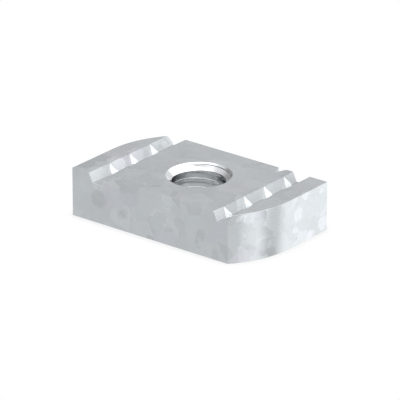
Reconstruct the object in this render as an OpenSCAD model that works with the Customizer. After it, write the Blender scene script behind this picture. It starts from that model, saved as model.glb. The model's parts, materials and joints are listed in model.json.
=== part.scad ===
// Channel nut: a flat steel block that drops through the slot of a strut channel
// and turns a quarter turn, so that its two toothed grooves seat on the channel's
// in-turned lips. The plan has two turned corners and two square ones.
// Millimetres. The frame's origin is on the hole's axis at the flat base,
// X runs along the nut and Z points out of the grooved face.

/* [Body] */
// Length between the two flat ends
nut_len = 34.5; // [33:0.5:40]
// Width, which passes the slot of the channel
nut_w = 20; // [18:0.5:22]
// Thickness from the flat base to the grooved face
nut_h = 8; // [6:0.5:12]
// Radius of the two turned corners, tangent to the end at mid-width
turn_r = 15; // [12:0.5:20]

/* [Lip grooves] */
// Distance between the inner edges of the two grooves
block_len = 21.3; // [18:0.1:22]
// Opening of each groove at the grooved face
groove_w = 3.25; // [2.5:0.05:3.75]
// Depth of each groove
groove_depth = 1.5; // [1:0.1:2]
// Slope of the groove's flanks, in degrees from upright
flank_slope = 25; // [20:1:30]

/* [Groove teeth] */
// Spacing of the notches along a flank
tooth_pitch = 5; // [4:0.25:5.5]
// Notches in each inner flank
inner_notches = 4; // [1:1:4]
// Notches in each outer flank, staggered against the inner ones
outer_notches = 3; // [1:1:3]
// Opening of a notch at the groove's floor
notch_w = 2.4; // [1.2:0.1:2.8]
// Slope of the bottom of a notch, in degrees from upright
notch_slope = 13; // [5:1:16]
// Depth of the pocket that a notch leaves in the groove's floor
pocket_depth = 0.4; // [0.1:0.05:0.6]
// Reach of that pocket into the floor, from the foot of the flank
pocket_reach = 0.8; // [0.2:0.05:0.9]

/* [Threaded hole] */
// Core diameter of the thread, M10 by default
core_d = 8.4; // [6:0.1:10.2]
// Diameter of the countersink at both faces
sink_d = 10.4; // [10.3:0.1:13]
// Included angle of the countersink
sink_angle = 90; // [60:5:120]

/* [Edge nick] */
// Mouth of the small nick in the rear top edge
nick_w = 1.5; // [0.8:0.1:2.4]
// How far the nick runs in from the edge
nick_run = 1.8; // [0.8:0.1:2.5]
// How deep the nick goes below the grooved face
nick_depth = 1.5; // [0.8:0.1:3]
// From the groove's inner edge to the middle of the nick
nick_offset = 2.05; // [1.6:0.05:4]

/* [Hidden] */
$fn = 96;
// Length by which a cutter runs past the face that it breaks through
past = 1;
steel = [0.74, 0.755, 0.765];

floor_z = nut_h - groove_depth;
groove_x = block_len / 2 + groove_w / 2;
flank_run = groove_depth * tan(flank_slope);
notch_foot = (groove_depth / cos(flank_slope)) * sin(flank_slope - notch_slope);
sink_depth = (sink_d - core_d) / 2 / tan(sink_angle / 2);

// What is cut off one corner of the plan to leave the turned corner
module corner_waste() {
    translate([nut_len / 2 - turn_r, 0])
        difference() {
            translate([0, -nut_w / 2 - past])
                square([turn_r + past, nut_w / 2 + past]);
            circle(r = turn_r);
        }
}

// Plan of the nut: a rectangle with two opposite corners turned
module plan() {
    difference() {
        square([nut_len, nut_w], center = true);
        for (turn = [0, 180])
            rotate(turn)
                corner_waste();
    }
}

// Trough with sloped flanks and a flat floor, centred on X and open upwards
module lip_groove() {
    half_floor = groove_w / 2 - flank_run;
    half_mouth = groove_w / 2 + past * tan(flank_slope);
    rotate([90, 0, 0])
        linear_extrude(nut_w + 2 * past, center = true)
            polygon([
                [-half_floor, floor_z],
                [half_floor, floor_z],
                [half_mouth, nut_h + past],
                [-half_mouth, nut_h + past]
            ]);
}

// Cutter of one notch in the flank on the groove's -X side. Its sharp edge leaves
// the flank's top edge and leans into the groove less than the flank does, so the
// notch opens and deepens towards the floor and ends in a small pocket there.
module notch_cutter() {
    length = (groove_depth + pocket_depth + past) / cos(notch_slope) + past;
    intersection() {
        translate([0, 0, nut_h])
            rotate([0, -notch_slope, 0])
                translate([0, 0, past - length])
                    linear_extrude(length)
                        polygon([
                            [0, 0],
                            [notch_foot, -notch_w / 2],
                            [notch_foot + pocket_reach, -notch_w / 2],
                            [notch_foot + pocket_reach, notch_w / 2],
                            [notch_foot, notch_w / 2]
                        ]);
        translate([-groove_w, -notch_w, floor_z - pocket_depth])
            cube([2 * groove_w, 2 * notch_w, groove_depth + pocket_depth + past]);
    }
}

// Row of notches along one flank, spread evenly about mid-width
module notch_row(count) {
    for (i = [0 : count - 1])
        translate([-groove_w / 2, (i - (count - 1) / 2) * tooth_pitch, 0])
            notch_cutter();
}

// One groove with the teeth of its inner and its outer flank
module toothed_groove() {
    translate([groove_x, 0, 0]) {
        lip_groove();
        notch_row(inner_notches);
        mirror([1, 0, 0])
            notch_row(outer_notches);
    }
}

// Core of the threaded hole, countersunk at both faces
module threaded_hole() {
    translate([0, 0, -past])
        cylinder(h = nut_h + 2 * past, d = core_d);
    countersink();
    translate([0, 0, nut_h])
        mirror([0, 0, 1])
            countersink();
}

// Cone that opens downwards through the face at Z = 0
module countersink() {
    flare = past * tan(sink_angle / 2);
    translate([0, 0, -past])
        cylinder(h = sink_depth + past, r1 = sink_d / 2 + flare, r2 = core_d / 2);
}

// V-shaped nick in the rear top edge, beside one groove
module edge_nick() {
    mouth_half = nick_w / 2 * (nick_run + past) / nick_run;
    translate([block_len / 2 - nick_offset, nut_w / 2, nut_h - nick_depth])
        linear_extrude(nick_depth + past)
            polygon([[0, -nick_run], [mouth_half, past], [-mouth_half, past]]);
}

module channel_nut() {
    color(steel)
        difference() {
            linear_extrude(nut_h)
                plan();
            for (turn = [0, 180])
                rotate([0, 0, turn])
                    toothed_groove();
            threaded_hole();
            edge_nick();
        }
}

channel_nut();
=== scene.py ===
"""Looks of a galvanised channel nut: a forged block, tapped and countersunk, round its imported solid.

The frame is the part's own: X runs along the nut, Y across it and Z out of the grooved face.
Shapes and finishes are worked out in millimetres, and the nut goes into the scene in metres.
"""

import json
import logging
import math
from dataclasses import dataclass, field
from enum import Enum
from functools import cache

import bmesh
import bpy
import numpy as np
from mathutils import Matrix, Vector


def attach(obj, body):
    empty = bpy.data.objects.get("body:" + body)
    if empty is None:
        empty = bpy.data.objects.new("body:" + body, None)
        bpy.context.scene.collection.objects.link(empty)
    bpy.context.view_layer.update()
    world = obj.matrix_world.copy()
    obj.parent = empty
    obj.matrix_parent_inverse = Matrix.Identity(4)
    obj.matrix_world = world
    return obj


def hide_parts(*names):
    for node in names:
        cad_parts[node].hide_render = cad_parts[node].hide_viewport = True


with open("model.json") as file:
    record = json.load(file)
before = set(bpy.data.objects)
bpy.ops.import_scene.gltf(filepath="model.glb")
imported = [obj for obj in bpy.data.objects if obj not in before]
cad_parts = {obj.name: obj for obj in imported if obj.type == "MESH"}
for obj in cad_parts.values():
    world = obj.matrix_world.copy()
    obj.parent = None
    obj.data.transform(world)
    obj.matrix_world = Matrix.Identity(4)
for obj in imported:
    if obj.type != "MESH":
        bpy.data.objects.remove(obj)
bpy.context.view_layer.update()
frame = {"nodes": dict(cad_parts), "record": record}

MM = 0.001
BODY = "root"

log = logging.getLogger("channel_nut")


class Coat(Enum):
    """The finishes of the nut, by the index of the material that carries them."""

    ZINC = 0
    CUT_STEEL = 1


class Face(Enum):
    """A flat face that the hole breaks through, by the direction out of the block."""

    GROOVED = 1
    BASE = -1


def direction(plan_angle: float, elevation: float) -> np.ndarray:
    """Gives the unit vector at an angle in plan, from +X towards +Y, and an angle above the horizon.

    Args:
        plan_angle: Angle in the XY plane, in degrees.
        elevation: Angle above that plane, in degrees.

    Returns:
        (cos e cos a, cos e sin a, sin e).
    """
    a, e = math.radians(plan_angle), math.radians(elevation)
    return np.array([math.cos(e) * math.cos(a), math.cos(e) * math.sin(a), math.sin(e)])


def mesh_object(name: str, points: np.ndarray, faces: list[list[int]], coat: Coat) -> bpy.types.Object:
    """Puts points and faces into a new object, merges its doubles and turns its faces outwards.

    Args:
        name: Name of the object.
        points: Array of shape (n, 3).
        faces: Vertex numbers of each face.
        coat: Finish of all the faces.

    Returns:
        The object, linked to the scene.
    """
    merge_distance = 1e-5
    mesh = bpy.data.meshes.new(name)
    mesh.from_pydata(points.tolist(), [], faces)
    shape = bmesh.new()
    shape.from_mesh(mesh)
    bmesh.ops.remove_doubles(shape, verts=shape.verts, dist=merge_distance)
    bmesh.ops.recalc_face_normals(shape, faces=shape.faces)
    shape.to_mesh(mesh)
    shape.free()
    mesh.polygons.foreach_set("material_index", np.full(len(mesh.polygons), coat.value, np.int32))
    made = bpy.data.objects.new(name, mesh)
    bpy.context.scene.collection.objects.link(made)
    return made


def read_array(items: bpy.types.bpy_prop_collection, name: str, columns: int = 1) -> np.ndarray:
    """Reads one property of all the items of a mesh at once.

    Args:
        items: The mesh's vertices, loops, faces or corner normals.
        name: Name of the property.
        columns: Numbers that each item holds.

    Returns:
        Array of shape (n,) for one column and (n, columns) for more.
    """
    kind = np.int32 if name.endswith(("index", "start", "total")) else np.float32
    values = np.empty(len(items) * columns, kind)
    items.foreach_get(name, values)
    return values if columns == 1 else values.reshape(-1, columns)


@dataclass
class Bore:
    """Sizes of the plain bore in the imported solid, in millimetres."""

    core_radius: float
    rim_radius: float
    height: float

    @classmethod
    def measured(cls, node: str) -> "Bore":
        """Reads the bore's sizes from the frame.

        Args:
            node: Name of the node that the bore is in.

        Returns:
            The core radius from the record's threaded hole, the rim's radius from the vertices of the
            top face that lie nearest the axis, and the node's height.
        """
        thread = next(m for m in frame["record"]["mounts"] if m["kind"] == "threaded_hole")
        points = read_array(frame["nodes"][node].data.vertices, "co", 3) / MM
        height = float(points[:, 2].max())
        on_top = points[points[:, 2] > height - 1e-3]
        rim_radius = float(np.hypot(on_top[:, 0], on_top[:, 1]).min())
        return cls(float(thread["dims"]["r_mm"]), rim_radius, height)


@dataclass
class ForgedBlock:
    """The block before it is tapped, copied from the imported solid. Sizes are in millimetres."""

    node: str
    bore: Bore
    edge_round: float = 0.04
    round_steps: int = 2
    corner_angle: float = 21.0

    def blank(self) -> bpy.types.Object:
        """Copies the solid, closes its bore and rounds its sharp edges.

        Returns:
            The block in millimetres, with whole flat faces, no hole and a live bevel.
        """
        merge_distance = 1e-3
        mesh = frame["nodes"][self.node].data.copy()
        mesh.transform(Matrix.Scale(1 / MM, 4))
        shape = bmesh.new()
        shape.from_mesh(mesh)
        bmesh.ops.remove_doubles(shape, verts=shape.verts, dist=merge_distance)
        self.close_bore(shape)
        bmesh.ops.dissolve_limit(
            shape, angle_limit=math.radians(0.5), verts=shape.verts, edges=shape.edges
        )
        shape.to_mesh(mesh)
        shape.free()
        block = bpy.data.objects.new("block", mesh)
        bpy.context.scene.collection.objects.link(block)
        bevel = block.modifiers.new("rounded edges", "BEVEL")
        bevel.limit_method = "ANGLE"
        bevel.angle_limit = math.radians(self.corner_angle)
        bevel.width = self.edge_round
        bevel.segments = self.round_steps
        bevel.use_clamp_overlap = False
        return block

    def close_bore(self, shape: bmesh.types.BMesh) -> None:
        """Takes out the faces that lie within the rim's radius and fills the two holes that they leave.

        Args:
            shape: The block's mesh, changed in place.
        """
        reach = self.bore.rim_radius + 1e-2
        wall = [
            f for f in shape.faces if all(math.hypot(v.co.x, v.co.y) < reach for v in f.verts)
        ]
        bmesh.ops.delete(shape, geom=wall, context="FACES")
        open_edges = [e for e in shape.edges if e.is_boundary]
        bmesh.ops.holes_fill(shape, edges=open_edges, sides=0)


@dataclass
class TappedHole:
    """Right-hand metric thread with a countersink at both faces. Sizes are in millimetres."""

    bore: Bore
    root_radius: float = 5.0
    pitch: float = 1.5
    flank_angle: float = 30.0
    root_share: float = 1 / 8
    corner_run: float = 0.03
    corner_steps: int = 3
    crest_height: float = 5.5
    crest_plan_angle: float = 128.4
    rim_round: float = 0.12
    steps_a_turn: int = 120
    past: float = 2.0

    def thread_profile(self) -> np.ndarray:
        """Lays out one pitch of the thread: the crest, a flank, the root and the next flank.

        Each corner is a quadratic Bezier curve that starts and ends corner_run away from it along
        the two straights.

        Returns:
            Array of shape (n, 2) with the radius and the height of each point, from the crest up.
        """
        flank_run = (self.root_radius - self.bore.core_radius) * math.tan(math.radians(self.flank_angle))
        root = self.root_share * self.pitch
        crest = self.pitch - 2 * flank_run - root
        radii = [self.bore.core_radius] * 2 + [self.root_radius] * 2
        corners = np.stack([radii, np.cumsum([-crest / 2, crest, flank_run, root])], 1)
        one_pitch = np.array([0.0, self.pitch])
        before = np.concatenate([corners[-1:] - one_pitch, corners[:-1]])
        after = np.concatenate([corners[1:], corners[:1] + one_pitch])
        back, onward = before - corners, after - corners
        start = corners + self.corner_run * back / np.linalg.norm(back, axis=1, keepdims=True)
        end = corners + self.corner_run * onward / np.linalg.norm(onward, axis=1, keepdims=True)
        s = np.linspace(0, 1, self.corner_steps)[None, :, None]
        curve = (1 - s) ** 2 * start[:, None] + 2 * s * (1 - s) * corners[:, None] + s**2 * end[:, None]
        return curve.reshape(-1, 2)

    def thread_cutter(self) -> bpy.types.Object:
        """Makes the tap, the solid whose surface is the thread.

        A point at turn t on profile point k lies at the radius of k, at the plan angle 360 t, and at
        the height pitch t plus that of k. The last point of a profile joins the first one of the
        next turn. A fan of triangles from the axis closes each end.

        Returns:
            The tap as an object in millimetres.
        """
        radii, heights = self.thread_profile().T
        rows, n = len(radii), self.steps_a_turn
        last = n * math.ceil((self.bore.height + 2 * self.past) / self.pitch)
        below = math.ceil((self.crest_height + self.past) / self.pitch)
        turn = np.arange(last + 1)[:, None] / n
        plan = 2 * np.pi * turn + math.radians(self.crest_plan_angle)
        z = self.crest_height + self.pitch * (turn - below) + heights
        points = np.stack([radii * np.cos(plan), radii * np.sin(plan), z], -1).reshape(-1, 3)

        i, k = np.meshgrid(np.arange(last), np.arange(rows - 1), indexing="ij")
        along = (i * rows + k).reshape(-1)
        strip = np.stack([along, along + rows, along + rows + 1, along + 1], 1)
        top = np.arange(last - n) * rows + rows - 1
        seam = np.stack([top, top + rows, top + 1 + n * rows, top + 1 + (n - 1) * rows], 1)
        faces = np.concatenate([strip, seam]).tolist()

        tips = np.array([[0, 0, z[0].min() - self.past], [0, 0, z[-1].max() + self.past]])
        side = np.arange(rows - 1, 0, -1)
        loops = [
            np.concatenate([np.arange(n + 1) * rows, side]),
            np.concatenate([np.arange(last - n, last + 1) * rows + rows - 1, last * rows + side - 1]),
        ]
        for number, loop in enumerate(loops):
            tip = np.full(len(loop), len(points) + number)
            faces += np.stack([tip, loop, np.roll(loop, -1)], 1).tolist()
        return mesh_object("tap", np.concatenate([points, tips]), faces, Coat.CUT_STEEL)

    def countersink_cutter(self, face: Face) -> bpy.types.Object:
        """Makes the countersink's cutter, a cone whose rim is rounded where it meets the flat face.

        A point at turn t on profile point k lies at the radius of k, at the plan angle 360 t and at
        the height of k. The profile leaves the axis at 45 degrees, bends through an arc to nearly
        flat at the rim and goes straight up beyond the face.

        Args:
            face: The flat face that the cone opens through.

        Returns:
            The cutter as an object in millimetres.
        """
        overshoot = 0.002
        tangent = self.rim_round * math.tan(math.radians(22.5))
        bend = np.radians(np.linspace(45, 0, 6))
        arc_r = self.bore.rim_radius + tangent - self.rim_round * np.sin(bend)
        arc_up = overshoot - self.rim_round * (1 - np.cos(bend))
        profile_r = np.concatenate([[0], arc_r, [arc_r[-1], 0]])
        profile_up = np.concatenate([[-self.bore.rim_radius], arc_up, [self.past, self.past]])
        n, rows = self.steps_a_turn, len(profile_r)
        plan = 2 * np.pi * np.arange(n)[:, None] / n
        level = self.bore.height if face is Face.GROOVED else 0.0
        z = np.broadcast_to(level + face.value * profile_up, (n, rows))
        points = np.stack([profile_r * np.cos(plan), profile_r * np.sin(plan), z], -1).reshape(-1, 3)
        i, k = np.meshgrid(np.arange(n), np.arange(rows - 1), indexing="ij")
        here, there = i * rows + k, (i + 1) % n * rows + k
        quads = np.stack([here, there, there + 1, here + 1], -1).reshape(-1, 4)
        return mesh_object(f"countersink_{face.name.lower()}", points, quads.tolist(), Coat.CUT_STEEL)


class Graph:
    """Short forms for building one node tree."""

    def __init__(self, tree: bpy.types.NodeTree) -> None:
        """Takes the tree to build."""
        self.tree = tree

    def node(self, kind: str, **settings: object) -> bpy.types.Node:
        """Adds a node.

        Args:
            kind: The node's type after "ShaderNode".
            settings: Values of its properties.

        Returns:
            The node.
        """
        made = self.tree.nodes.new(f"ShaderNode{kind}")
        for name, value in settings.items():
            setattr(made, name, value)
        return made

    def feed(self, socket: bpy.types.NodeSocket, value: object) -> None:
        """Links another node's output to an input, or sets the input's constant.

        Args:
            socket: The input.
            value: An output socket or a constant.
        """
        if isinstance(value, bpy.types.NodeSocket):
            self.tree.links.new(value, socket)
        else:
            socket.default_value = value

    def math(self, operation: str, *values: object) -> bpy.types.NodeSocket:
        """Works out one operation on numbers.

        Args:
            operation: Name of the operation.
            values: Its inputs in order.

        Returns:
            The result's socket.
        """
        made = self.node("Math", operation=operation)
        for socket, value in zip(made.inputs, values):
            self.feed(socket, value)
        return made.outputs["Value"]

    def vector(self, operation: str, *values: object, scale: object = 1.0) -> bpy.types.NodeSocket:
        """Works out one operation on vectors.

        Args:
            operation: Name of the operation.
            values: Its vectors in order.
            scale: Factor of the operation SCALE.

        Returns:
            The result's socket, a number for LENGTH, DISTANCE and DOT_PRODUCT.
        """
        made = self.node("VectorMath", operation=operation)
        for socket, value in zip(made.inputs, values):
            self.feed(socket, value)
        if operation == "SCALE":
            self.feed(made.inputs["Scale"], scale)
        number = operation in ("LENGTH", "DISTANCE", "DOT_PRODUCT")
        return made.outputs["Value" if number else "Vector"]

    def fade(
        self, value: object, start: float, end: float, low: float = 0.0, high: float = 1.0
    ) -> bpy.types.NodeSocket:
        """Goes smoothly from low, where the value is at start, to high, where it is at end.

        Args:
            value: The number that drives the change.
            start: Value at which the change begins. It is the lower one of the two.
            end: Value at which the change is complete.
            low: Result up to start.
            high: Result from end on.

        Returns:
            The result's socket.
        """
        made = self.node("MapRange", interpolation_type="SMOOTHSTEP")
        given = {"Value": value, "From Min": start, "From Max": end, "To Min": low, "To Max": high}
        for name, number in given.items():
            self.feed(made.inputs[name], number)
        return made.outputs["Result"]

    def noise(self, place: object, scale: float, detail: float = 2.0) -> bpy.types.Node:
        """Adds a noise with values about 0.5.

        Args:
            place: Vector that the noise is read at.
            scale: Features for each unit of the vector.
            detail: Octaves added to the coarsest one.

        Returns:
            The node, with the outputs Fac and Color.
        """
        made = self.node("TexNoise")
        self.feed(made.inputs["Vector"], place)
        self.feed(made.inputs["Scale"], scale)
        self.feed(made.inputs["Detail"], detail)
        return made

    def millimetres(self) -> bpy.types.NodeSocket:
        """Gives the place on the nut, in millimetres, as a vector socket."""
        place = self.node("TexCoord").outputs["Object"]
        return self.vector("SCALE", place, scale=1 / MM)


def open_group(name: str, inputs: dict[str, float], output: str) -> tuple[Graph, dict, object]:
    """Makes an empty node group whose inputs and output are numbers.

    Args:
        name: Name of the group.
        inputs: Names of its inputs, with their usual values.
        output: Name of its one output.

    Returns:
        The group's graph, its input sockets by name and the socket that takes its result.
    """
    tree = bpy.data.node_groups.new(name, "ShaderNodeTree")
    for label, usual in inputs.items():
        taken = tree.interface.new_socket(label, in_out="INPUT", socket_type="NodeSocketFloat")
        taken.default_value = usual
    tree.interface.new_socket(output, in_out="OUTPUT", socket_type="NodeSocketFloat")
    given = tree.nodes.new("NodeGroupInput")
    result = tree.nodes.new("NodeGroupOutput")
    return Graph(tree), {label: given.outputs[label] for label in inputs}, result.inputs[output]


@cache
def recess_shade() -> bpy.types.NodeTree:
    """Gets the group that shades recesses, where less of the tent's light comes in.

    Returns:
        A group with the inputs Reach and Strength, and the output Shade: 1 in the open, and in a
        recess the share of open sky within Reach to the power Strength.
    """
    graph, given, result = open_group("recess shade", {"Reach": MM, "Strength": 1.0}, "Shade")
    sky = graph.node("AmbientOcclusion", only_local=True, samples=16)
    graph.feed(sky.inputs["Distance"], given["Reach"])
    graph.feed(result, graph.math("POWER", sky.outputs["AO"], given["Strength"]))
    return graph.tree


@cache
def edge_wear() -> bpy.types.NodeTree:
    """Gets the group that finds worn edges.

    Returns:
        A group with the input Width and the output Wear: 1 on the worn stretches of outer edges,
        where a normal rounded over Width departs from the true one, and 0 on faces and inner edges.
    """
    bent_match, flat_match = 0.86, 0.99
    sky_reach, inner_sky, outer_sky = 0.6 * MM, 0.8, 0.95
    patch_scale, whole_patch, rubbed_patch = 0.9, 0.4, 0.62
    graph, given, result = open_group("edge wear", {"Width": 0.25 * MM}, "Wear")
    rounded = graph.node("Bevel", samples=6)
    graph.feed(rounded.inputs["Radius"], given["Width"])
    true = graph.node("NewGeometry").outputs["Normal"]
    match = graph.vector("DOT_PRODUCT", rounded.outputs["Normal"], true)
    at_edge = graph.math("SUBTRACT", 1.0, graph.fade(match, bent_match, flat_match))
    sky = graph.node("AmbientOcclusion", only_local=True, samples=8)
    graph.feed(sky.inputs["Distance"], sky_reach)
    outer = graph.fade(sky.outputs["AO"], inner_sky, outer_sky)
    patches = graph.noise(graph.millimetres(), patch_scale).outputs["Fac"]
    rubbed = graph.fade(patches, whole_patch, rubbed_patch)
    graph.feed(result, graph.math("MULTIPLY", graph.math("MULTIPLY", at_edge, outer), rubbed))
    return graph.tree


@dataclass(frozen=True)
class Finish:
    """What the nut's finishes share. Lengths are in millimetres."""

    name: str
    colour: tuple[float, float, float]
    roughness: float
    recess_reach: float
    recess_strength: float
    worn_colour: tuple[float, float, float] = (0.56, 0.575, 0.585)
    worn_roughness: float = 0.17
    worn_width: float = 0.2

    def start(self) -> tuple[bpy.types.Material, Graph]:
        """Makes a metallic material.

        Returns:
            The material and its graph.
        """
        made = bpy.data.materials.new(self.name)
        made.use_nodes = True
        made.node_tree.nodes["Principled BSDF"].inputs["Metallic"].default_value = 1.0
        return made, Graph(made.node_tree)

    def surface(self, graph: Graph, tone: object, roughness: object, colour: object | None = None) -> None:
        """Feeds the shader: toned colour, darker in recesses, and brighter and smoother on worn edges.

        Args:
            graph: Graph of the material.
            tone: Factor on the colour.
            roughness: Roughness away from worn edges.
            colour: Colour socket, or nothing for the finish's own colour.
        """
        shader = graph.tree.nodes["Principled BSDF"]
        wear = graph.node("Group", node_tree=edge_wear())
        graph.feed(wear.inputs["Width"], self.worn_width * MM)
        shade = graph.node("Group", node_tree=recess_shade())
        graph.feed(shade.inputs["Reach"], self.recess_reach * MM)
        graph.feed(shade.inputs["Strength"], self.recess_strength)
        worn = graph.node("Mix", data_type="RGBA")
        graph.feed(worn.inputs["Factor"], wear.outputs["Wear"])
        graph.feed(worn.inputs["A"], colour if colour is not None else (*self.colour, 1.0))
        graph.feed(worn.inputs["B"], (*self.worn_colour, 1.0))
        factor = graph.math("MULTIPLY", shade.outputs["Shade"], tone)
        graph.feed(shader.inputs["Base Color"], graph.vector("SCALE", worn.outputs["Result"], scale=factor))
        smooth = graph.node("Mix", data_type="FLOAT")
        graph.feed(smooth.inputs["Factor"], wear.outputs["Wear"])
        graph.feed(smooth.inputs["A"], roughness)
        graph.feed(smooth.inputs["B"], self.worn_roughness)
        graph.feed(shader.inputs["Roughness"], smooth.outputs["Result"])

    def let_reflections_through(self, graph: Graph, share: object) -> None:
        """Hides the finish from a share of the reflected rays.

        Args:
            graph: Graph of the material.
            share: 1 where a reflected ray goes on unhindered and 0 where it meets the metal.
        """
        nodes = graph.tree.nodes
        reflected = graph.node("LightPath").outputs["Is Glossy Ray"]
        switch = graph.node("MixShader")
        graph.feed(switch.inputs["Fac"], graph.math("MULTIPLY", reflected, share))
        graph.feed(switch.inputs[1], nodes["Principled BSDF"].outputs["BSDF"])
        graph.feed(switch.inputs[2], graph.node("BsdfTransparent").outputs["BSDF"])
        graph.feed(nodes["Material Output"].inputs["Surface"], switch.outputs["Shader"])


@dataclass(frozen=True)
class ToneSpot:
    """A spot where the zinc's tone is raised or lowered: most mark a crystal that stands out, one is
    painted shade. Its place and radius are in millimetres, and tone is what it adds.
    """

    place: tuple[float, float, float]
    radius: float
    tone: float


@dataclass(frozen=True)
class ZincFinish(Finish):
    """Hot-dip zinc with a soft spangle. Lengths are in millimetres."""

    name: str = "hot_dip_zinc"
    colour: tuple[float, float, float] = (0.482, 0.508, 0.526)
    roughness: float = 0.24
    recess_reach: float = 1.5
    recess_strength: float = 0.25
    lavender: tuple[float, float, float] = (0.49, 0.506, 0.537)
    lavender_from: float = 0.7
    crystal_size: float = 3.4
    crystal_tone: float = 0.085
    crystal_tilt: float = 0.05
    tone_spot_edge: float = 0.2
    lobe_scale: float = 1.1
    lobe_shift: float = 1.1
    bend_scale: float = 0.45
    bend_shift: float = 3.4
    dulling: float = 0.08
    haze_scale: float = 1.7
    cloud_scale: float = 0.22
    cloud_tone: float = 0.16
    feather_scale: float = 3.0
    feather_tone: float = 0.05
    grain_scale: float = 1.1
    grain_height: float = 0.003
    tone_spots: tuple[ToneSpot, ...] = (
        ToneSpot((17.2, 4.5, 7.5), 0.7, 0.14),
        ToneSpot((17.2, 2.5, 5), 1.1, 0.12),
        ToneSpot((17.2, 2, 2.5), 0.7, 0.12),
        ToneSpot((17.2, 5.5, 0.5), 1.0, 0.13),
        ToneSpot((17.2, 9, 1.5), 1.3, 0.15),
        ToneSpot((17.2, 8.5, 7), 0.5, 0.12),
        ToneSpot((15.5, -7.5, 7.5), 1.3, 0.09),
        ToneSpot((16.5, -5, 2.5), 1.4, 0.09),
        ToneSpot((15, -7.5, 1.5), 1.3, -0.1),
        ToneSpot((-13.5, -3.5, 7), 1.8, 0.13),
        ToneSpot((-13.5, 1.5, 7.5), 1.5, 0.12),
        ToneSpot((-13.5, -8, 7), 1.8, 0.06),
        # Painted shade: darkens the far end of the right groove's inner flank.
        ToneSpot((11, 9, 7), 2.0, -0.14),
        ToneSpot((-12, -10, 4), 1.4, -0.09),
        ToneSpot((-7, -10, 3), 0.8, -0.08),
        ToneSpot((0, -10, 3.5), 1.8, 0.07),
        ToneSpot((-16.5, -7.5, 8), 1.7, -0.13),
        ToneSpot((-16.5, -4, 8), 1.6, -0.13),
        ToneSpot((-1.5, -8.5, 8), 1.5, -0.09),
        ToneSpot((1, -8.5, 8), 1.3, -0.1),
    )

    def material(self) -> bpy.types.Material:
        """Builds the material.

        Returns:
            A Principled material with metallic reflection, spangle and a fine relief.
        """
        made, graph = self.start()
        place = graph.millimetres()
        lobed = self.shifted(graph, place, place, self.lobe_scale, self.lobe_shift)
        bent = self.shifted(graph, lobed, place, self.bend_scale, self.bend_shift)
        cell = graph.node("TexVoronoi", feature="F1")
        graph.feed(cell.inputs["Vector"], bent)
        graph.feed(cell.inputs["Scale"], 1 / self.crystal_size)
        by_cell = graph.node("SeparateXYZ")
        graph.feed(by_cell.inputs["Vector"], cell.outputs["Color"])
        tone = self.tone(graph, place, lobed, bent, by_cell.outputs["X"])
        tint = graph.node("Mix", data_type="RGBA")
        graph.feed(tint.inputs["Factor"], graph.fade(by_cell.outputs["Y"], self.lavender_from, 1.0))
        graph.feed(tint.inputs["A"], (*self.colour, 1.0))
        graph.feed(tint.inputs["B"], (*self.lavender, 1.0))
        haze = graph.noise(place, self.haze_scale, 3.0).outputs["Fac"]
        smoothest = self.roughness - self.dulling
        rough = graph.math("MULTIPLY_ADD", by_cell.outputs["Z"], self.dulling, smoothest)
        rough = graph.math("MULTIPLY_ADD", haze, self.dulling, rough)
        self.surface(graph, tone, rough, tint.outputs["Result"])
        shader = made.node_tree.nodes["Principled BSDF"]
        graph.feed(shader.inputs["Normal"], self.relief(graph, place, cell))
        self.let_reflections_through(graph, 1.0)
        return made

    def shifted(
        self, graph: Graph, start: object, place: object, scale: float, reach: float
    ) -> bpy.types.NodeSocket:
        """Shifts a vector by a noise, so that outlines drawn with it are bent.

        Args:
            graph: Graph of the material.
            start: Vector to shift, in millimetres.
            place: Place that the noise is read at, in millimetres.
            scale: Features of the noise for each millimetre.
            reach: Span of the shift, in millimetres.

        Returns:
            The shifted vector.
        """
        drift = graph.noise(place, scale, 0.5).outputs["Color"]
        swing = graph.vector("SUBTRACT", drift, (0.5, 0.5, 0.5))
        return graph.vector("ADD", start, graph.vector("SCALE", swing, scale=reach))

    def tone(
        self, graph: Graph, place: object, lobed: object, bent: object, chance: object
    ) -> bpy.types.NodeSocket:
        """Works out how bright each spot of the spangle is.

        Every crystal's chance, from -1 to 1 and times its own size, sets its tone, so few stand out.
        Clouds, streaks and the listed spots come on top. Each spot is a crystal that stands out, except the
        painted shade at the far end of the right groove's inner flank.

        Args:
            graph: Graph of the material.
            place: Place on the nut, in millimetres.
            lobed: Place with the small shift, for the listed spots.
            bent: Place with both shifts.
            chance: Random number from 0 to 1 of the crystal.

        Returns:
            Factor on the colour, near 1.
        """
        signed = graph.math("MULTIPLY_ADD", chance, 2.0, -1.0)
        squared = graph.math("MULTIPLY", signed, graph.math("ABSOLUTE", signed))
        total = graph.math("MULTIPLY_ADD", squared, self.crystal_tone, 1.0)
        clouds = graph.math("SUBTRACT", graph.noise(bent, self.cloud_scale, 1.0).outputs["Fac"], 0.5)
        total = graph.math("MULTIPLY_ADD", clouds, self.cloud_tone, total)
        upright = graph.vector("MULTIPLY", place, (1.1, 1.1, 0.35))
        feather = graph.math("SUBTRACT", graph.noise(upright, self.feather_scale).outputs["Fac"], 0.5)
        total = graph.math("MULTIPLY_ADD", feather, self.feather_tone, total)
        # Listed spots: each is a crystal that stands out, except one, which is painted shade.
        for crystal in self.tone_spots:
            away = graph.vector("DISTANCE", lobed, crystal.place)
            soft = self.tone_spot_edge * crystal.radius
            lobe = graph.fade(away, crystal.radius - soft, crystal.radius + soft, crystal.tone, 0.0)
            total = graph.math("ADD", total, lobe)
        return total

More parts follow.
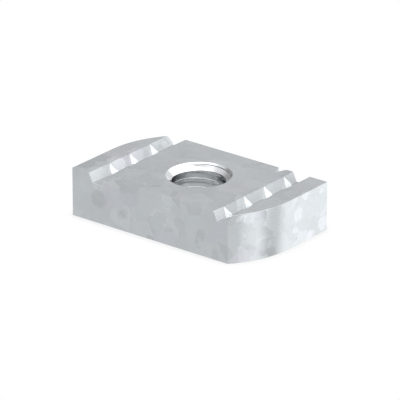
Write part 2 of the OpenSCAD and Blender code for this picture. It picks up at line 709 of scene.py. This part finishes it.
    def relief(self, graph: Graph, place: object, cell: bpy.types.Node) -> bpy.types.NodeSocket:
        """Tilts each crystal by about a degree and lays a fine grain over all.

        Args:
            graph: Graph of the material.
            place: Place on the nut, in millimetres.
            cell: The Voronoi node whose colour is random for each crystal.

        Returns:
            The normal.
        """
        swing = graph.vector("SUBTRACT", cell.outputs["Color"], (0.5, 0.5, 0.5))
        tilt = graph.vector("SCALE", swing, scale=self.crystal_tilt)
        true = graph.node("NewGeometry").outputs["Normal"]
        normal = graph.vector("NORMALIZE", graph.vector("ADD", true, tilt))
        grain = graph.node("Bump")
        graph.feed(grain.inputs["Strength"], 1.0)
        graph.feed(grain.inputs["Distance"], self.grain_height * MM)
        graph.feed(grain.inputs["Height"], graph.noise(place, self.grain_scale, 1.0).outputs["Fac"])
        graph.feed(grain.inputs["Normal"], normal)
        return grain.outputs["Normal"]


@dataclass(frozen=True)
class CutSteelFinish(Finish):
    """Bare steel as the tap and the countersink leave it. Lengths are in millimetres."""

    name: str = "cut_steel"
    colour: tuple[float, float, float] = (0.645, 0.66, 0.67)
    roughness: float = 0.17
    recess_reach: float = 1.2
    recess_strength: float = 0.04
    worn_width: float = 0.1
    mark_scale: float = 9.0
    mark_tone: float = 0.16
    mark_roughness: float = 0.12
    mark_height: float = 0.003
    stain_scale: float = 0.8
    stain_tone: float = 0.1
    hole_span: float = 13.0
    cone_foot: float = 7.05

    def material(self) -> bpy.types.Material:
        """Builds the material.

        Returns:
            A Principled material with metallic reflection and the marks of a turning tool.
        """
        made, graph = self.start()
        turned = self.turned_place(graph)
        marks = graph.noise(turned, self.mark_scale).outputs["Fac"]
        stains = graph.noise(graph.millimetres(), self.stain_scale).outputs["Fac"]
        darkest = 1 - (self.mark_tone + self.stain_tone) / 2
        tone = graph.math("MULTIPLY_ADD", stains, self.stain_tone, darkest)
        tone = graph.math("MULTIPLY_ADD", marks, self.mark_tone, tone)
        smoothest = self.roughness - self.mark_roughness / 2
        self.surface(graph, tone, graph.math("MULTIPLY_ADD", marks, self.mark_roughness, smoothest))
        lines = graph.node("Bump")
        graph.feed(lines.inputs["Strength"], 1.0)
        graph.feed(lines.inputs["Distance"], self.mark_height * MM)
        graph.feed(lines.inputs["Height"], marks)
        graph.feed(made.node_tree.nodes["Principled BSDF"].inputs["Normal"], lines.outputs["Normal"])
        self.let_reflections_through(graph, self.unhindered(graph))
        return made

    def unhindered(self, graph: Graph) -> bpy.types.NodeSocket:
        """Tells which reflected rays go on, so that the hole mirrors its own wall and nothing else does.

        Args:
            graph: Graph of the material.

        Returns:
            1 for a ray that meets the metal from inside, has come further than the hole is wide or
            meets the upper countersink, and 0 for one that crosses the hole.
        """
        behind = graph.node("NewGeometry").outputs["Backfacing"]
        travelled = graph.node("LightPath").outputs["Ray Length"]
        far = graph.math("GREATER_THAN", travelled, self.hole_span * MM)
        parts = graph.node("SeparateXYZ")
        graph.feed(parts.inputs["Vector"], graph.millimetres())
        on_cone = graph.math("GREATER_THAN", parts.outputs["Z"], self.cone_foot)
        return graph.math("MAXIMUM", graph.math("MAXIMUM", behind, far), on_cone)

    def turned_place(self, graph: Graph) -> bpy.types.NodeSocket:
        """Gives the place as the tool sees it: radius, height and a little of the angle about the axis.

        Args:
            graph: Graph of the material.

        Returns:
            Vector of the radius and the height in millimetres and the angle in radians times 0.3.
        """
        parts = graph.node("SeparateXYZ")
        graph.feed(parts.inputs["Vector"], graph.millimetres())
        x, y, z = (parts.outputs[axis] for axis in "XYZ")
        radius = graph.math("SQRT", graph.math("MULTIPLY_ADD", x, x, graph.math("MULTIPLY", y, y)))
        angle = graph.math("MULTIPLY", graph.math("ARCTAN2", y, x), 0.3)
        joined = graph.node("CombineXYZ")
        for axis, value in zip("XYZ", (radius, z, angle)):
            graph.feed(joined.inputs[axis], value)
        return joined.outputs["Vector"]


@dataclass
class ChannelNut:
    """The whole nut: the forged block with its tapped hole, dressed in its finishes."""

    node: str = "channel_nut"
    name: str = "galvanised_nut"
    smooth_angle: float = 56.0
    curve_angle: float = 4.0
    large_area: float = 0.25
    zinc: ZincFinish = field(default_factory=ZincFinish)
    cut_steel: CutSteelFinish = field(default_factory=CutSteelFinish)

    def build(self) -> bpy.types.Object:
        """Cuts the hole into the block, dresses the result and lets it stand for the node.

        Returns:
            The finished piece.
        """
        bore = Bore.measured(self.node)
        hole = TappedHole(bore)
        block = ForgedBlock(self.node, bore).blank()
        cutters = [hole.thread_cutter(), *(hole.countersink_cutter(face) for face in Face)]
        self.dress(block)
        piece = self.machined(block, cutters)
        self.set_normals(piece)
        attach(piece, BODY)
        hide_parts(self.node)
        return piece

    def dress(self, block: bpy.types.Object) -> None:
        """Gives the block its materials, in the order of Coat.

        Args:
            block: The blank, whose faces all carry the first one.
        """
        block.data.materials.clear()
        for finish in (self.zinc, self.cut_steel):
            block.data.materials.append(finish.material())

    def machined(self, block: bpy.types.Object, cutters: list[bpy.types.Object]) -> bpy.types.Object:
        """Subtracts the cutters from the block and brings the result to metres.

        Args:
            block: The blank, in millimetres.
            cutters: The solids to take away, in millimetres. They are used up.

        Returns:
            The nut as one mesh at the origin.
        """
        for cutter in cutters:
            cut = block.modifiers.new(cutter.name, "BOOLEAN")
            cut.operation = "DIFFERENCE"
            cut.solver = "EXACT"
            cut.object = cutter
        mesh = evaluated_mesh(block)
        for used in (block, *cutters):
            bpy.data.objects.remove(used)
        mesh.transform(Matrix.Scale(MM, 4))
        mesh.name = self.name
        piece = bpy.data.objects.new(self.name, mesh)
        bpy.context.scene.collection.objects.link(piece)
        return piece

    def set_normals(self, piece: bpy.types.Object) -> None:
        """Smooths the nut's rounded edges and turned surfaces, and keeps its flat faces flat.

        Zinc corners get the normal of their faces weighted by area, but a large face keeps its own
        where that would bend it by more than curve_angle. Corners of the hole get their own face's
        normal, turned about the hole's axis from the face's middle to the corner.

        Args:
            piece: The nut.
        """
        piece.data.shade_smooth()
        piece.data.set_sharp_from_angle(angle=math.radians(self.smooth_angle))
        weighted = piece.modifiers.new("by area", "WEIGHTED_NORMAL")
        weighted.keep_sharp = True
        mesh = evaluated_mesh(piece)
        piece.modifiers.remove(weighted)
        normals = read_array(mesh.corner_normals, "vector", 3).astype(np.float64)
        bpy.data.meshes.remove(mesh)
        mesh = piece.data
        face = np.repeat(np.arange(len(mesh.polygons)), read_array(mesh.polygons, "loop_total"))
        corner = read_array(mesh.vertices, "co", 3)[read_array(mesh.loops, "vertex_index")]
        middle = read_array(mesh.polygons, "center", 3)[face]
        flat = read_array(mesh.polygons, "normal", 3)[face]
        turn = np.arctan2(corner[:, 1], corner[:, 0]) - np.arctan2(middle[:, 1], middle[:, 0])
        turned = np.stack([
            flat[:, 0] * np.cos(turn) - flat[:, 1] * np.sin(turn),
            flat[:, 0] * np.sin(turn) + flat[:, 1] * np.cos(turn),
            flat[:, 2],
        ], 1)
        in_hole = read_array(mesh.polygons, "material_index")[face] == Coat.CUT_STEEL.value
        normals[in_hole] = turned[in_hole]
        large = read_array(mesh.polygons, "area")[face] > self.large_area * MM**2
        bent = np.sum(normals * flat, axis=1) < math.cos(math.radians(self.curve_angle))
        normals[large & bent & ~in_hole] = flat[large & bent & ~in_hole]
        mesh.normals_split_custom_set(normals.tolist())


def evaluated_mesh(made: bpy.types.Object) -> bpy.types.Mesh:
    """Copies an object's mesh as its modifiers leave it.

    Args:
        made: The object.

    Returns:
        The new mesh.
    """
    graph = bpy.context.evaluated_depsgraph_get()
    return bpy.data.meshes.new_from_object(made.evaluated_get(graph))


@dataclass
class ProductCamera:
    """Long lens on the nut, as the photograph was framed."""

    azimuth: float = 38.366
    elevation: float = 22.804
    distance: float = 0.660713
    target: tuple[float, float, float] = (0.0, 0.0, 0.00425)
    aim_right: float = 0.000117
    aim_down: float = 0.000467
    focal_pixels: float = 4261.865
    image_pixels: float = 400.0

    def build(self) -> bpy.types.Object:
        """Sets the camera on its line of sight and makes it the scene's camera.

        Returns:
            The camera.
        """
        data = bpy.data.cameras.new("product_camera")
        data.sensor_width = 36.0
        data.lens = data.sensor_width * self.focal_pixels / self.image_pixels
        data.clip_start, data.clip_end = 0.01, 20.0
        camera = bpy.data.objects.new("product_camera", data)
        bpy.context.scene.collection.objects.link(camera)
        back = Vector(direction(self.azimuth - 90, self.elevation))
        right = back.cross(Vector((0, 0, 1))).normalized() * -1
        up = back.cross(right)
        place = Vector(self.target) + back * self.distance
        aim = Vector(self.target) + right * self.aim_right - up * self.aim_down
        camera.location = place
        camera.rotation_mode = "QUATERNION"
        camera.rotation_quaternion = (aim - place).to_track_quat("-Z", "Y")
        bpy.context.scene.camera = camera
        return camera


@dataclass(frozen=True)
class Card:
    """A round patch on the tent: a softbox where it adds light, a black flag where it takes some away.

    Angles are in degrees. It acts in full up to one angle from its middle and fades out at the other.
    """

    plan_angle: float
    elevation: float
    full: float
    reach: float
    level: float


@dataclass
class LightTent:
    """White tent round the nut, with softboxes and flags on its cloth, and the pale floor.

    Upright faces mirror the tent as far below the horizon as the camera stands above it, so the
    cards that they show lie at about -23 degrees. Lengths on the floor are in metres for its radius
    and in millimetres for the shadow's reach.
    """

    level: float = 1.0
    floor_radius: float = 3.0
    floor_colour: float = 0.56
    shadow_reach: float = 1.8
    shadow_share: float = 0.4
    cards: tuple[Card, ...] = (
        Card(-65, 66, 18, 46, 1.5),
        Card(-74, 32, 6, 18, 1.4),
        Card(15, 57, 12, 30, 1.5),
        Card(62, 33, 6, 28, 1.1),
        Card(100, 66, 10, 26, -0.5),
        Card(128, 23, 12, 30, -0.1),
        Card(-128, -23, 14, 34, -0.035),
        Card(172, 18, 10, 32, -0.6),
        Card(148, -9, 8, 22, -0.6),
        Card(16, -2, 8, 18, 1.5),
        Card(51.6, -22.8, 2, 17, 0.77),
        Card(-2, -22.8, 8, 18, 0.64),
        Card(24, -23, 3, 9, -0.13),
        Card(-38, -22.8, 8, 20, 0.1),
        Card(80, -16, 4, 18, 0.4),
        Card(47, 11, 6, 18, 0.22),
        Card(110, 82, 4, 20, -0.6),
    )

    def build(self) -> None:
        """Sets up the world and the floor."""
        self.world()
        self.floor()

    def world(self) -> None:
        """Makes the tent: the same even white for every ray, and the cards, which the camera misses."""
        world = bpy.data.worlds.new("light_tent")
        bpy.context.scene.world = world
        world.use_nodes = True
        world.cycles.sampling_method = "NONE"
        world.node_tree.nodes.clear()
        graph = Graph(world.node_tree)
        towards = graph.node("TexCoord").outputs["Generated"]
        cards = 0.0
        for card in self.cards:
            nearness = graph.vector("DOT_PRODUCT", towards, direction(card.plan_angle, card.elevation))
            rim, middle = math.cos(math.radians(card.reach)), math.cos(math.radians(card.full))
            cards = graph.math("ADD", graph.fade(nearness, rim, middle, 0.0, card.level), cards)
        hidden = graph.node("LightPath").outputs["Is Camera Ray"]
        shown = graph.math("SUBTRACT", 1.0, hidden)
        total = graph.math("MULTIPLY_ADD", cards, shown, self.level)
        tent = graph.node("Background")
        graph.feed(tent.inputs["Color"], (1, 1, 1, 1))
        graph.feed(tent.inputs["Strength"], graph.math("MAXIMUM", total, 0.0))
        graph.feed(graph.node("OutputWorld").inputs["Surface"], tent.outputs["Background"])

    def floor(self) -> bpy.types.Object:
        """Makes the pale floor, which only the camera sees, because the tent's light comes through it.

        Returns:
            The floor.
        """
        points = np.array([[-1, -1, 0], [1, -1, 0], [1, 1, 0], [-1, 1, 0]]) * self.floor_radius
        mesh = bpy.data.meshes.new("floor")
        mesh.from_pydata(points.tolist(), [], [[0, 1, 2, 3]])
        floor = bpy.data.objects.new("floor", mesh)
        bpy.context.scene.collection.objects.link(floor)
        floor.visible_glossy = False
        floor.visible_diffuse = False
        floor.visible_shadow = False
        mesh.materials.append(self.floor_material())
        return floor

    def floor_material(self) -> bpy.types.Material:
        """Builds the floor's material: plain white in the open, and lit cloth beside the nut.

        The cloth takes the nut's shadow. Its colour is such that the tent's light brings it to about 1,
        which is white, so neither part clips and the nut's outline keeps its softened pixels.

        Returns:
            The material.
        """
        shaded_sky, open_sky = 0.5, 0.98
        made = bpy.data.materials.new("pale_floor")
        made.use_nodes = True
        made.node_tree.nodes.clear()
        graph = Graph(made.node_tree)
        cloth = graph.node("BsdfDiffuse")
        graph.feed(cloth.inputs["Color"], (self.floor_colour,) * 3 + (1,))
        white = graph.node("Emission")
        graph.feed(white.inputs["Strength"], 1.0)
        sky = graph.node("AmbientOcclusion", samples=16)
        graph.feed(sky.inputs["Distance"], self.shadow_reach * MM)
        near = graph.node("MixShader")
        shadow = graph.fade(sky.outputs["AO"], shaded_sky, open_sky, self.shadow_share, 0.0)
        graph.feed(near.inputs["Fac"], shadow)
        graph.feed(near.inputs[1], white.outputs["Emission"])
        graph.feed(near.inputs[2], cloth.outputs["BSDF"])
        graph.feed(graph.node("OutputMaterial").inputs["Surface"], near.outputs["Shader"])
        return made


def main() -> None:
    """Builds the nut, the tent and the camera, and reports each piece."""
    logging.basicConfig(level=logging.INFO, format="%(name)s: %(message)s")
    bpy.context.scene.view_settings.view_transform = "Standard"
    piece = ChannelNut().build()
    log.info("%s has %d vertices", piece.name, len(piece.data.vertices))
    LightTent().build()
    ProductCamera().build()


if __name__ == "__main__":
    main()
